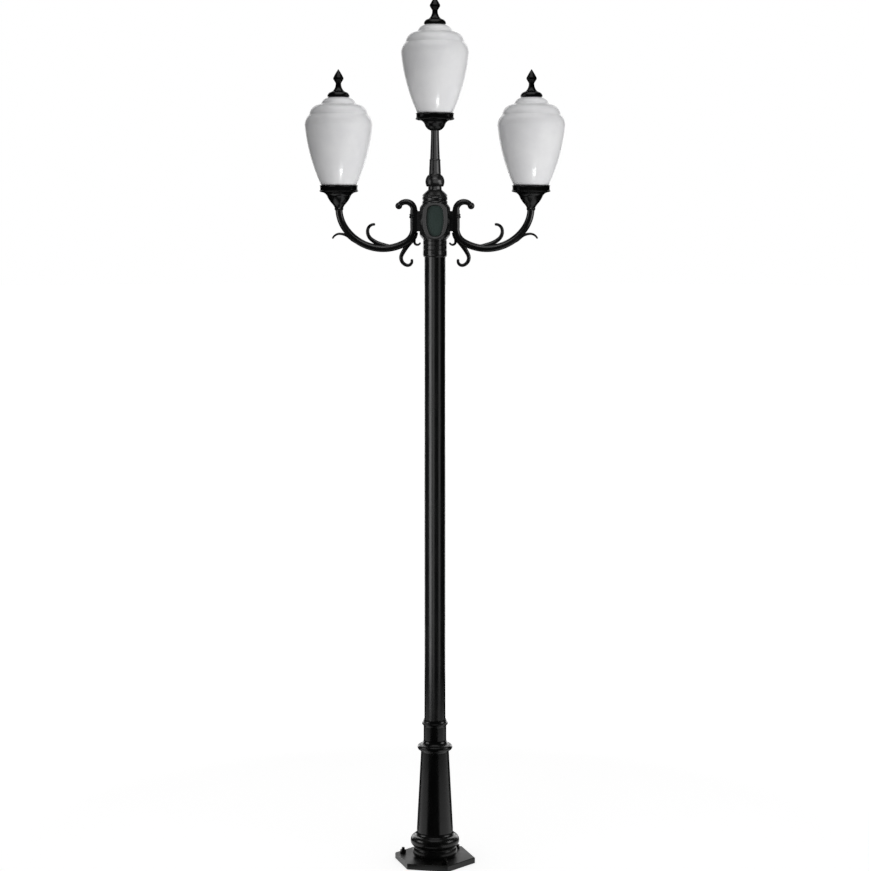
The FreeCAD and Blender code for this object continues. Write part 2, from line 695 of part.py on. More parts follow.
def arm_screws():
    sink = ARM_SCREW_HEAD_R - ARM_SCREW_R
    profile = outline(
        (0, 0), (ARM_SCREW_R - SCREW_CLEAR, 0), (ARM_SCREW_R - SCREW_CLEAR, ARM_SCREW_L - sink),
        (ARM_SCREW_HEAD_R - SCREW_CLEAR, ARM_SCREW_L), (HEX_SOCKET_R, ARM_SCREW_L),
        (HEX_SOCKET_R, ARM_SCREW_L - HEX_SOCKET_DEPTH), (0, ARM_SCREW_L - HEX_SOCKET_DEPTH),
    )
    screws = []
    for y, z in arm_screw_places():
        screw = turned(profile)
        screw.rotate(V(0, 0, 0), V(0, 1, 0), 90)
        screw.translate(V(PAD_TOP - ARM_SCREW_L, y, HUB_Z + z))
        screws.append(screw)
    return Part.makeCompound(screws)


def at_left(shape):
    return shape.mirror(V(0, 0, 0), V(1, 0, 0))


# ---- lamps --------------------------------------------------------------------------------------
# a bowl's outside from its seat up to the lip, and its lining from the ledge down to the floor, both
# in shares of the gallery's radius and of the cup's height; a pair is an arc's middle and its end
SIDE_BOWL = (
    ((15.5 / 69, 0),),
    ((18.5 / 69, 6.5 / 61), (24.5 / 69, 15 / 61)),
    ((34 / 69, 26.5 / 61), (42.5 / 69, 41 / 61)),
    ((48 / 69, 50.5 / 61), (62 / 69, 58 / 61)),
)
SIDE_LINING = ((38.5 / 69, 43 / 61), (20.5 / 69, 17 / 61))
CENTRE_BOWL = (
    ((15 / 69, 0),),
    ((26 / 69, 5.3 / 41), (38 / 69, 22 / 41)),
    ((44 / 69, 32 / 41), (62 / 69, 38 / 41)),
)
CENTRE_LINING = ((46 / 69, 38.5 / 41), (34 / 69, 24 / 41))
SIDE_FLOOR_R = 17.5
CENTRE_FLOOR_R = 25.0


def gallery(bowl, lining, floor_r, cup_h):
    """A bowl that opens into a flared rim, with a ledge for the globe."""
    bore = PIPE_R + PIPE_CLEAR
    rim_in = GALLERY_R - GALLERY_WALL
    top = cup_h + GALLERY_H
    ledge = cup_h + LEDGE_T
    sides = []
    for places in bowl:
        ends = [(GALLERY_R * r, cup_h * z) for r, z in places]
        sides.append(bow(*ends) if len(ends) == 2 else ends[0])
    inside = [(GALLERY_R * r, cup_h * z) for r, z in lining]
    return outline(
        (bore, 0), *sides,
        (GALLERY_R - 1, cup_h - 1.3), (GALLERY_R + 2.2, cup_h + 0.5), (GALLERY_R + 3.2, cup_h + 1.7),
        (GALLERY_R + 3.2, cup_h + 3.3), (GALLERY_R + 1.6, cup_h + 4.5),
        bow((GALLERY_R + 0.3, cup_h + 8), (GALLERY_R, cup_h + 13)),
        (GALLERY_R, top - 5), (GALLERY_R + 1.4, top - 3), (GALLERY_R + 1.4, top - 0.8),
        (GALLERY_R + 0.6, top), (rim_in, top), (rim_in, ledge), (LEDGE_R, ledge),
        (LEDGE_R, ledge - 3), *inside, (floor_r, BOWL_FLOOR), (bore, BOWL_FLOOR),
    )


def set_screw(angle, rim_z, x):
    tip = NECK_R + SCREW_GAP
    head = GALLERY_R + SET_SCREW_STAND
    crown = head + SET_SCREW_HEAD_T
    z = rim_z - SET_SCREW_DROP
    shank = radial_rod(SET_SCREW_R, tip, head, angle, z, x)
    cheese = radial_rod(SET_SCREW_HEAD_R, head, crown, angle, z, x)
    slot = Part.makeBox(
        SLOT_DEPTH, 2 * SET_SCREW_HEAD_R, SLOT_W,
        V(crown - SLOT_DEPTH, -SET_SCREW_HEAD_R, -SLOT_W / 2),
    )
    slot.rotate(V(0, 0, 0), UP, angle)
    slot.translate(V(x, 0, z))
    return one_solid(shank.fuse(cheese).cut(slot))


def globe():
    """Three convex tiers over a long body, one wall thick, with the neck ring in its foot."""
    wall = GLOBE_WALL
    out, rise = (GLOBE_R - CAP_R) / 84, GLOBE_H / 322  # both 1 as drawn

    def level(step_in, z, inset=0.0):
        return GLOBE_R - step_in * out - inset, z * rise

    shell = outline(
        (NECK_R + 1.4, 0), (NECK_R + 4.4, 3.5),
        bow(level(20, 108), level(0, 220)),
        bow(level(4, 240), level(15, 256.5)),
        level(17.5, 260),
        bow(level(24, 278), level(45, 294)),
        level(60, 298.5), level(62.5, 301.5),
        bow(level(69, 312), (CAP_R, GLOBE_H - 1.5)),
        (CAP_R - 2, GLOBE_H), (CAP_HOLE_R, GLOBE_H),
        (CAP_HOLE_R, GLOBE_H - wall), (CAP_R - 4, GLOBE_H - wall),
        level(73, 309.5), level(67, 297), level(62, 294.5),
        bow(level(28, 276), level(21.5, 258)),
        bow(level(4.5, 239, wall), level(0, 220, wall)),
        bow(level(20, 108, wall), (NECK_R + 4.4 - wall, 3.5)),
        (NECK_R - wall, 0),
    )
    foot = -(GALLERY_H - LEDGE_T - GASKET_T)
    neck = ring(NECK_R - wall, NECK_R, foot, -foot)
    return Part.makeCompound([turned(shell), neck])


def finial():
    """Cap, neck and spear in one casting, with the stud that goes through the globe."""
    foot = SEAL_T
    tip = foot + FINIAL_H - TIP_R
    rise = FINIAL_H / 100  # 1 as drawn
    return outline(
        (0, foot), (0, -STUD_L), (STUD_R, -STUD_L), (STUD_R, foot), (CAP_R - 1, foot),
        (CAP_R, foot + 1), (CAP_R, foot + 2.5),
        bow((CAP_R - 3, foot + 10.5 * rise), (CAP_R - 11, foot + 17 * rise)),
        bow((CAP_R - 18, foot + 20 * rise), (CAP_R - 23, foot + 24.5 * rise)),
        bow((12.2, foot + 35 * rise), (10.2, foot + 50 * rise)),
        (18.4, foot + 63 * rise),
        bow((19.3, foot + 67.5 * rise), (17.8, foot + 72 * rise)),
        bow((10.9, foot + 84.5 * rise), (TIP_R, tip)),
        (TIP_R / 2, tip + TIP_R), (0, tip + TIP_R),
    )


def bulb_glass():
    """A pear-shaped bulb, open at its foot."""
    wall, r, h = BULB_WALL, BULB_R, BULB_GLASS_H
    neck = BULB_CAP_R - 0.6
    half_way = math.sqrt(0.5)
    return outline(
        (neck, 0),
        bow((neck + 1, 10), (neck + 5.6, 20.5)),
        bow((r - 2.6, 38), (r, h - r)),
        bow((r * half_way, h - r + r * half_way), (0, h)),
        (0, h - wall),
        bow(((r - wall) * half_way, h - r + (r - wall) * half_way), (r - wall, h - r)),
        bow((r - 2.6 - wall, 38), (neck + 5.6 - wall, 20.5)),
        bow((neck + 1 - wall, 10), (neck - wall, 0)),
    )


def bulb_cap():
    """A screw cap with rolled threads and a centre contact."""
    root_r = BULB_CAP_R - 0.9
    steps = [
        (0, -BULB_CAP_H), (4.5, -BULB_CAP_H), (4.5, -BULB_CAP_H + 1.5),
        (9.5, -BULB_CAP_H + 4), (root_r, -BULB_CAP_H + 4),
    ]
    for k in range(THREAD_TURNS):
        low = -BULB_CAP_H + 5 + 4 * k
        steps += [(root_r, low), (BULB_CAP_R, low + 1.4), (BULB_CAP_R, low + 2.2), (root_r, low + 3.6)]
    steps += [(BULB_CAP_R - 0.4, -3), (BULB_CAP_R - 0.4, 0), (0, 0)]
    return outline(*steps)


def lampholder():
    socket_r = BULB_CAP_R + BULB_GAP
    socket_foot = HOLDER_H + BULB_STAND - BULB_CAP_H
    return outline(
        (PIPE_R, 0), (HOLDER_R - 5, 0), (HOLDER_R - 5, 10),
        bow((HOLDER_R - 1.5, 12.5), (HOLDER_R, 17)),
        (HOLDER_R, HOLDER_H - 2), (HOLDER_R - 2, HOLDER_H), (socket_r, HOLDER_H),
        (socket_r, socket_foot), (HOLDER_WIRE_R, socket_foot),
        (HOLDER_WIRE_R, HOLDER_THREAD + 1), (PIPE_R, HOLDER_THREAD + 1),
    )


def lamp(side, x, seat_z, bowl, lining, floor_r, cup_h):
    """Every node of one lamp, by name."""
    rim_z = seat_z + cup_h + GALLERY_H
    holder_z = rim_z - HOLDER_DROP
    bulb_z = holder_z + HOLDER_H + BULB_STAND
    cap_z = rim_z + GLOBE_H
    body = turned(gallery(bowl, lining, floor_r, cup_h), x, seat_z)
    nodes = {}
    for letter, angle in zip("abc", around(3, 90)):
        hole = radial_rod(
            SET_SCREW_R + SCREW_CLEAR, NECK_R, GALLERY_R + 5, angle, rim_z - SET_SCREW_DROP, x
        )
        body = body.cut(hole)
        nodes["set_screw_%s_%s" % (side, letter)] = set_screw(angle, rim_z, x)
    nodes["gallery_" + side] = one_solid(body)
    gasket_z = seat_z + cup_h + LEDGE_T
    gasket_out = GALLERY_R - GALLERY_WALL - GASKET_GAP
    nodes["globe_gasket_" + side] = ring(LEDGE_R + GASKET_INSET, gasket_out, gasket_z, GASKET_T, x)
    nodes["globe_" + side] = globe().translated(V(x, 0, rim_z))
    nodes["cap_seal_" + side] = ring(CAP_HOLE_R + 2, CAP_R - 4, cap_z, SEAL_T, x)
    nodes["finial_" + side] = turned(finial(), x, cap_z)
    nut_z = cap_z - GLOBE_WALL - CAP_NUT_H
    flats = 2 * (STUD_R + CAP_NUT_WALL)
    nodes["cap_nut_" + side] = hexagon_prism(flats, nut_z, CAP_NUT_H, STUD_R, x)
    nodes["lampholder_" + side] = turned(lampholder(), x, holder_z)
    nodes["bulb_cap_" + side] = turned(bulb_cap(), x, bulb_z)
    nodes["bulb_glass_" + side] = turned(bulb_glass(), x, bulb_z)
    return nodes


# ---- assembly -----------------------------------------------------------------------------------
def build():
    hub = hub_body()
    frame, panel = medallion_frame(hub), medallion_panel(hub)
    arm, screws = scrolled_arm(), arm_screws()
    side_seat_z = HUB_Z + seat_height()
    side_rim_z = side_seat_z + SIDE_CUP_H + GALLERY_H
    centre_rim_z = CENTRE_SEAT_Z + CENTRE_CUP_H + GALLERY_H
    bead_z = PLATE_T + PEDESTAL_H - BEAD_DROP
    nodes = {
        "base_plate": foot_plate(),
        "anchor_washers": anchor_washers(),
        "anchor_nuts": anchor_nuts(),
        "post_tube": post_tube(),
        "pedestal": pedestal(),
        "pedestal_set_screws": grub_screws(TUBE_R, PEDESTAL_BEAD_R - 1, bead_z),
        "hub_body": hub,
        "hub_set_screws": grub_screws(TUBE_R, COLLAR_R - 0.5, HUB_Z + HUB_GRUB_Z),
        "medallion_frame_front": frame,
        "medallion_panel_front": panel,
        "medallion_frame_back": at_back(frame),
        "medallion_panel_back": at_back(panel),
        "hub_crown": hub_crown(),
        "stem": stem(),
        "arm_right": arm,
        "arm_left": at_left(arm),
        "arm_screws_right": screws,
        "arm_screws_left": at_left(screws),
    }
    nodes["stem_pipe"] = threaded_pipe(
        CROWN_Z - HUB_ROOF_T - PIPE_TAIL, centre_rim_z - HOLDER_DROP + HOLDER_THREAD
    )
    nut_places = [(0, CROWN_Z - HUB_ROOF_T - LOCKNUT_T), (0, CENTRE_SEAT_Z + BOWL_FLOOR)]
    for side, x in (("left", -LAMP_REACH), ("right", LAMP_REACH)):
        nodes["gallery_pipe_" + side] = threaded_pipe(
            side_seat_z - PIPE_IN_ARM, side_rim_z - HOLDER_DROP + HOLDER_THREAD, x
        )
        nodes.update(lamp(
            side, x, side_seat_z, SIDE_BOWL, SIDE_LINING, SIDE_FLOOR_R, SIDE_CUP_H
        ))
        nut_places.append((x, side_seat_z + BOWL_FLOOR))
    nodes.update(lamp(
        "centre", 0.0, CENTRE_SEAT_Z, CENTRE_BOWL, CENTRE_LINING, CENTRE_FLOOR_R, CENTRE_CUP_H
    ))
    flats = 2 * (PIPE_R + LOCKNUT_WALL)
    nodes["pipe_locknuts"] = Part.makeCompound(
        [hexagon_prism(flats, z, LOCKNUT_T, PIPE_R, x) for x, z in nut_places]
    )
    return nodes


os.makedirs("parts", exist_ok=True)
for name, shape in build().items():
    if not shape.isValid():
        print("not valid:", name)
    shape.exportStep("parts/%s.step" % name)
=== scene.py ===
import json
import math

import bmesh
import bpy
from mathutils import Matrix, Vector


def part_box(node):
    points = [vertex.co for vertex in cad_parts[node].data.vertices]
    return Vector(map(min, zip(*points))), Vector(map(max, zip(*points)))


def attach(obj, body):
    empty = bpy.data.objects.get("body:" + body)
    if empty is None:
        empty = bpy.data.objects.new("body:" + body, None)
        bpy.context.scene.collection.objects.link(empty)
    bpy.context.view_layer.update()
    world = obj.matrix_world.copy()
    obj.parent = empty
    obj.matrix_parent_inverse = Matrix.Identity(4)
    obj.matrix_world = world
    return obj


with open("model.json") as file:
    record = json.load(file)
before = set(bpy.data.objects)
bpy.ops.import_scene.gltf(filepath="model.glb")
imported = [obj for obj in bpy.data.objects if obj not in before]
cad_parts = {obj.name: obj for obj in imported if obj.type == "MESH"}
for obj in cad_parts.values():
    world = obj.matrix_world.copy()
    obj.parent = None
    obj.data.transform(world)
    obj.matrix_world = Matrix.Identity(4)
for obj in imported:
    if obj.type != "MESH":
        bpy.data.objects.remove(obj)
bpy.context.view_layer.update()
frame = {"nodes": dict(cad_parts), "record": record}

# ---- sizes --------------------------------------------------------------------------------------
MM = 0.001
STUD_R = 6.0 * MM
STUD_PITCH = 1.75 * MM
STUD_THREAD_DEPTH = 0.9 * MM
STUD_CHAMFER = 1.2 * MM
STUD_FOOT = 2.0 * MM
STUD_STANDS_OUT = 9.0 * MM  # above its nut
STUD_SIDES = 40
STUD_STEPS_PER_TURN = 8

# ---- photograph's view --------------------------------------------------------------------------
CAMERA_PLACE = Vector((-0.0017, -8.15, 2.5))
CAMERA_PITCH = 6.054  # degrees below level
CAMERA_LENS = 90.35
CAMERA_SENSOR = 36.0

# ---- colours, linear ----------------------------------------------------------------------------
BLACK_PAINT = (0.0028, 0.0029, 0.0030)
BLACK_CASTING = (0.0026, 0.0027, 0.0028)
BARE_GREY = (0.075, 0.075, 0.078)
DRY_DUST = (0.11, 0.105, 0.095)
GREEN_GREY = (0.014, 0.024, 0.021)
OPAL = (0.80, 0.80, 0.81)
OPAL_DENSE = (0.74, 0.74, 0.755)
PORCELAIN = (0.72, 0.70, 0.66)
PORCELAIN_STAIN = (0.50, 0.45, 0.38)
BRASS = (0.62, 0.44, 0.17)
BRASS_DULL = (0.33, 0.23, 0.10)
ZINC = (0.50, 0.51, 0.53)
ZINC_DULL = (0.30, 0.31, 0.32)
BLACKENED = (0.020, 0.020, 0.022)
RUBBER = (0.012, 0.012, 0.012)
RUBBER_BLOOM = (0.045, 0.045, 0.043)
FROST = (0.85, 0.86, 0.87)
FROST_DENSE = (0.78, 0.79, 0.80)
BLACKENED_WORN = (0.050, 0.048, 0.046)
GLOBE_DUST = (0.55, 0.54, 0.51)
FLOOR_PALE = (0.86, 0.86, 0.86)
CLOTH_BLACK = (0.01, 0.01, 0.01)
WHITE = (1, 1, 1)

# ---- patterns: scales per metre, and ranges from where a pattern starts to where it is full -------
MOTTLE_SCALE = 9.0
MOTTLE_RANGE = (0.3, 0.7)
LEDGE_RANGE = (0.45, 1.0)  # of the normal's upward part
DUST_PATCH_SCALE = 26.0
DUST_SPECK_SCALE = 340.0
DUST_RANGE = (0.16, 0.42)
EDGE_RANGE = (0.985, 0.86)  # of the cosine of the turn
CHIP_SCALE = 130.0
CHIP_RANGE = (0.42, 0.66)
RUN_SCALE = 95.0
RUN_SQUEEZE = (1.0, 1.0, 0.06)  # makes the runs long and upright
RUN_RANGE = (0.5, 0.78)
RUN_FADE_SCALE = 5.0
DULL_RANGE = (0.35, 0.65)
STAIN_RANGE = (0.45, 0.8)

# ---- how roughness and fading vary --------------------------------------------------------------
COAT_GLOSS_SPREAD = (-0.04, 0.06)
METAL_GLOSS_SPREAD = 0.16
MOULDED_GLOSS_SPREAD = 0.2
FROST_GLOSS = (0.38, 0.5)
OPAL_GLOSS = 0.17
DUST_ROUGHENS = 0.4
RUNS_ROUGHEN = 0.3
FADE_GAIN = 1.5  # faded paint, from its colour
FADE_LIFT = 0.0008

# ---- studio -------------------------------------------------------------------------------------
FLOOR_R = 60.0
FLOOR_SIDES = 96
SHADOW_REACH = 1.6  # from the post's axis; from twice as far out the floor is plain white
NEAR_GLOW = 0.69  # the floor's own white near the post, which the lamps' light fills up to 1
AMBIENT = 0.27  # strength of the surroundings for the light that they throw
FLAG_R = 8.0
FLAG_TOP = 7.0
FLAG_SPREAD = 150.0  # degrees either side of the front
FLAG_STEPS = 48
CLOTHS = {  # height, inner radius, outer radius, middle azimuth, degrees to either side of it
    "cloth_in_front": (0.002, 0.18, 2.35, -11, 40),
    "cloth_beyond": (0.002, 2.35, 8.0, 0, 120),
    "cloth_behind": (0.002, 0.45, 14.0, 180, 60),
    "ceiling": (FLAG_TOP, 0.01, 8.0, 0, 180),
}

# Upright soft panels: azimuth from the front to the right, distance from the axis, height of the
# middle, width, height, and radiance, which is what a mirror would show.
GLOBE_WASHES = {
    "wall_right": (50, 7.0, 2.0, 6.6, 6.0, 2.75),
    "wall_front": (0, 4.6, 1.6, 4.0, 3.2, 0.4),
    "wall_behind": (180, 7.0, 2.0, 6.0, 6.0, 2.2),
}
GLOBES = ("globe_left", "globe_centre", "globe_right")
WASHED = GLOBES + ("bulb", "lampholder")  # starts of the names of what the washes light
GLOBE_STREAK = (15, 2.0, 0.6, 0.22, 24.0)  # azimuth, distance, width, height and radiance
STREAK_BELOW = 1.54  # middle of the streak's panel below each globe's lowest point
FLOOR_WASH = ((0.4, -1.3, 0.03), 3.0, 1.8)  # place, width and radiance
METAL_PANELS = (  # starts of the names of the nodes that are lit, and the panels
    (("post_tube", "hub_body", "hub_set", "medallion"), {
        "strip_left": (-51, 2.5, 1.7, 1.2, 3.1, 4.8),
        "strip_tail": (-18, 2.5, 1.25, 1.0, 2.2, 1.5),
        "strip_right": (50, 2.5, 1.25, 0.9, 2.2, 1.25),
    }),
    (("hub", "medallion", "stem"), {"hub_panel": (50, 2.5, 2.8, 0.9, 0.9, 4.5)}),
    (("arm", "stem", "hub_crown"), {
        "side_left": (-72, 2.3, 2.5, 1.4, 1.7, 3.0),
        "side_right": (72, 2.3, 2.5, 1.4, 1.7, 5.0),
    }),
    (("pedestal",), {
        "foot_left": (-82, 2.5, 1.5, 1.3, 1.0, 4.0),
        "foot_right": (82, 2.5, 1.5, 1.3, 1.0, 4.0),
    }),
    (("stem", "hub_crown", "medallion_frame"), {"stem_panel": (15, 1.8, 2.75, 2.6, 1.2, 2.0)}),
    (("stem", "hub", "medallion_frame", "arm"), {"high_panel": (0, 1.7, 4.1, 1.8, 1.2, 4.2)}),
    (("gallery",), {"cup_panel": (12, 1.6, 1.1, 2.4, 1.7, 1.0)}),
    (("arm",), {"arm_panel": (180, 1.8, 4.5, 1.6, 0.9, 6.0)}),
    (("post_tube", "pedestal", "base_plate", "anchor", "hub"), {
        "back_left": (-150, 2.5, 1.6, 0.9, 2.8, 2.2),
        "back_right": (150, 2.5, 1.6, 0.9, 2.8, 2.2),
    }),
)
OVERHEAD = ((0, -0.8, 6.2), 3.6, 1.2)  # place, width and radiance

# ---- node editor --------------------------------------------------------------------------------
NODES_A_ROW = 6
NODE_STEP = 220
NODE_DROP = 330


# ---- pieces -------------------------------------------------------------------------------------
def add_object(name, data):
    made = bpy.data.objects.new(name, data)
    bpy.context.scene.collection.objects.link(made)
    return made


def add_piece(name, mesh):
    """An object from a bmesh, which is freed."""
    data = bpy.data.meshes.new(name)
    mesh.to_mesh(data)
    mesh.free()
    return add_object(name, data)


def dress(piece, material):
    piece.data.materials.clear()
    piece.data.materials.append(material)


# ---- node trees ---------------------------------------------------------------------------------
def node(tree, kind, **settings):
    """Adds a node, in rows below the first ones."""
    row, column = divmod(len(tree.nodes), NODES_A_ROW)
    made = tree.nodes.new(kind)
    made.location = (column * NODE_STEP, -(row + 1) * NODE_DROP)
    for name, value in settings.items():
        setattr(made, name, value)
    return made


def put(tree, socket, value):
    """Links a socket, or sets the number or colour of its default."""
    if isinstance(value, bpy.types.NodeSocket):
        tree.links.new(value, socket)
    elif hasattr(socket.default_value, "__len__") and not hasattr(value, "__len__"):
        socket.default_value = (value,) * len(socket.default_value)
    elif hasattr(socket.default_value, "__len__") and len(value) < len(socket.default_value):
        socket.default_value = (*value, 1.0)
    else:
        socket.default_value = value


def math_node(tree, operation, a, b, clamp=False):
    made = node(tree, "ShaderNodeMath", operation=operation, use_clamp=clamp)
    put(tree, made.inputs[0], a)
    put(tree, made.inputs[1], b)
    return made.outputs[0]


def map_range(tree, value, low, high, to_low=0.0, to_high=1.0):
    made = node(tree, "ShaderNodeMapRange", interpolation_type="SMOOTHSTEP")
    for socket, given in zip(made.inputs, (value, low, high, to_low, to_high)):
        put(tree, socket, given)
    return made.outputs["Result"]


def mix_colour(tree, factor, a, b):
    made = node(tree, "ShaderNodeMix", data_type="RGBA")
    put(tree, made.inputs["Factor"], factor)
    colours = [socket for socket in made.inputs if socket.type == "RGBA"]
    put(tree, colours[0], a)
    put(tree, colours[1], b)
    return [socket for socket in made.outputs if socket.type == "RGBA"][0]


def noise(tree, coordinates, scale, detail, roughness):
    made = node(tree, "ShaderNodeTexNoise")
    put(tree, made.inputs["Vector"], coordinates)
    put(tree, made.inputs["Scale"], scale)
    put(tree, made.inputs["Detail"], detail)
    put(tree, made.inputs["Roughness"], roughness)
    return made.outputs["Fac"]


def effect(name, inputs, outputs, fill):
    """A shader node group with named number inputs, whose tree is made by fill(tree, inputs)."""
    tree = bpy.data.node_groups.new(name, "ShaderNodeTree")
    for label, value in inputs.items():
        socket = tree.interface.new_socket(label, in_out="INPUT", socket_type="NodeSocketFloat")
        socket.default_value = value
    for label in outputs:
        tree.interface.new_socket(label, in_out="OUTPUT", socket_type="NodeSocketFloat")
    way_in = node(tree, "NodeGroupInput")
    way_out = node(tree, "NodeGroupOutput")
    results = fill(tree, {label: way_in.outputs[label] for label in inputs})
    for label, value in zip(outputs, results):
        put(tree, way_out.inputs[label], value)
    return tree


def use(tree, group, **values):
    """Puts an effect in a material; input names are given with _ for each space."""
    made = node(tree, "ShaderNodeGroup", node_tree=group)
    for name, value in values.items():
        put(tree, made.inputs[name.replace("_", " ")], value)
    return made.outputs


# ---- effects that several finishes share --------------------------------------------------------
def fill_coat_grain(tree, given):
    """Orange peel of a powder coat over the grit of the surface below, as a height in metres."""
    place = node(tree, "ShaderNodeTexCoord").outputs["Object"]
    peel = noise(tree, place, math_node(tree, "DIVIDE", 1.0, given["Peel Size"]), detail=2.0, roughness=0.4)
    grit = noise(tree, place, math_node(tree, "DIVIDE", 1.0, given["Grit Size"]), detail=4.0, roughness=0.6)
    height = math_node(
        tree, "ADD",
        math_node(tree, "MULTIPLY", peel, given["Peel Depth"]),
        math_node(tree, "MULTIPLY", grit, given["Grit Depth"]),
    )
    mottle = noise(tree, place, MOTTLE_SCALE, detail=4.0, roughness=0.6)
    return height, mottle


def fill_settled_dust(tree, given):
    """Dust on ledges that face up, and splashes that fade out above the ground."""
    texture = node(tree, "ShaderNodeTexCoord")
    shape = node(tree, "ShaderNodeNewGeometry")
    upward = node(tree, "ShaderNodeSeparateXYZ")
    put(tree, upward.inputs[0], shape.outputs["Normal"])
    height = node(tree, "ShaderNodeSeparateXYZ")
    put(tree, height.inputs[0], texture.outputs["Object"])
    ledge = map_range(tree, upward.outputs["Z"], *LEDGE_RANGE)
    splash = map_range(tree, height.outputs["Z"], given["Splash Height"], 0.0)
    patches = noise(tree, texture.outputs["Object"], DUST_PATCH_SCALE, detail=6.0, roughness=0.62)
    specks = noise(tree, texture.outputs["Object"], DUST_SPECK_SCALE, detail=3.0, roughness=0.7)
    broken = map_range(tree, math_node(tree, "MULTIPLY", patches, specks), *DUST_RANGE)
    splashed = math_node(tree, "MULTIPLY", splash, given["Splash"])
    lying = math_node(tree, "MULTIPLY", ledge, given["Ledge"])
    reach = math_node(tree, "MAXIMUM", splashed, lying)
    return (math_node(tree, "MULTIPLY", reach, broken, clamp=True),)


def fill_rubbed_edges(tree, given):
    """Where the surface turns within a small width, broken up so that it isn't a drawn line."""
    shape = node(tree, "ShaderNodeNewGeometry")
    place = node(tree, "ShaderNodeTexCoord").outputs["Object"]
    rounded = node(tree, "ShaderNodeBevel", samples=4)
    put(tree, rounded.inputs["Radius"], given["Width"])
    together = node(tree, "ShaderNodeVectorMath", operation="DOT_PRODUCT")
    put(tree, together.inputs[0], rounded.outputs["Normal"])
    put(tree, together.inputs[1], shape.outputs["Normal"])
    turn = map_range(tree, together.outputs["Value"], *EDGE_RANGE)
    chips = map_range(tree, noise(tree, place, CHIP_SCALE, detail=5.0, roughness=0.65), *CHIP_RANGE)
    worn = math_node(tree, "MULTIPLY", turn, chips)
    return (math_node(tree, "MULTIPLY", worn, given["Amount"], clamp=True),)


def fill_rain_marks(tree, given):
    """Faint runs down upright faces, much longer than they are wide."""
    place = node(tree, "ShaderNodeTexCoord").outputs["Object"]
    stretch = node(tree, "ShaderNodeMapping")
    put(tree, stretch.inputs["Vector"], place)
    put(tree, stretch.inputs["Scale"], RUN_SQUEEZE)
    runs = noise(tree, stretch.outputs["Vector"], RUN_SCALE, detail=4.0, roughness=0.6)
    fade = noise(tree, place, RUN_FADE_SCALE, detail=2.0, roughness=0.5)
    marks = math_node(tree, "MULTIPLY", map_range(tree, runs, *RUN_RANGE), fade)
    return (math_node(tree, "MULTIPLY", marks, given["Amount"], clamp=True),)


coat_grain = effect(
    "coat_grain",
    {"Peel Size": 0.004, "Peel Depth": 0.00003, "Grit Size": 0.0012, "Grit Depth": 0.00001},
    ("Height", "Mottle"), fill_coat_grain,
)
settled_dust = effect(
    "settled_dust", {"Ledge": 0.5, "Splash": 0.5, "Splash Height": 0.3},
    ("Mask",), fill_settled_dust,
)
rubbed_edges = effect(
    "rubbed_edges", {"Width": 0.0012, "Amount": 0.6}, ("Mask",), fill_rubbed_edges
)
rain_marks = effect("rain_marks", {"Amount": 0.5}, ("Mask",), fill_rain_marks)


# ---- finishes -----------------------------------------------------------------------------------
def finish_tree(name, **constants):
    """A material's tree and its shader, with the numbers that are the same all over."""
    material = bpy.data.materials.new(name)
    material.use_nodes = True
    tree = material.node_tree
    shader = tree.nodes["Principled BSDF"]
    for label, value in constants.items():
        put(tree, shader.inputs[label.replace("_", " ")], value)
    return material, tree, shader


def raise_grain(tree, shader, height):
    bump = node(tree, "ShaderNodeBump")
    put(tree, bump.inputs["Height"], height)
    put(tree, bump.inputs["Distance"], 1.0)
    put(tree, bump.inputs["Strength"], 1.0)
    put(tree, shader.inputs["Normal"], bump.outputs["Normal"])


def over_mottle(tree, coat, low, high):
    """Goes from low to high with the coat's mottle."""
    return map_range(tree, coat["Mottle"], *MOTTLE_RANGE, low, high)


def painted(name, colour, gloss, grain, wear, splash, **constants):
    """Powder coat: grained, a little dusty on ledges and near the ground, rubbed at its edges."""
    material, tree, shader = finish_tree(name, **constants)
    coat = use(tree, coat_grain, **grain)
    dust = use(tree, settled_dust, Ledge=0.14, Splash=splash, Splash_Height=0.34)["Mask"]
    edges = use(tree, rubbed_edges, Width=0.0014, Amount=wear)["Mask"]
    runs = use(tree, rain_marks, Amount=0.10)["Mask"]
    faded = tuple(FADE_GAIN * c + FADE_LIFT for c in colour)
    base = mix_colour(tree, coat["Mottle"], colour, faded)
    base = mix_colour(tree, edges, base, BARE_GREY)
    base = mix_colour(tree, runs, base, DRY_DUST)
    base = mix_colour(tree, dust, base, DRY_DUST)
    put(tree, shader.inputs["Base Color"], base)
    rough = over_mottle(tree, coat, *(gloss + spread for spread in COAT_GLOSS_SPREAD))
    rough = math_node(tree, "ADD", rough, math_node(tree, "MULTIPLY", dust, DUST_ROUGHENS))
    rough = math_node(
        tree, "ADD", rough, math_node(tree, "MULTIPLY", runs, RUNS_ROUGHEN), clamp=True
    )
    put(tree, shader.inputs["Roughness"], rough)
    raise_grain(tree, shader, coat["Height"])
    return material


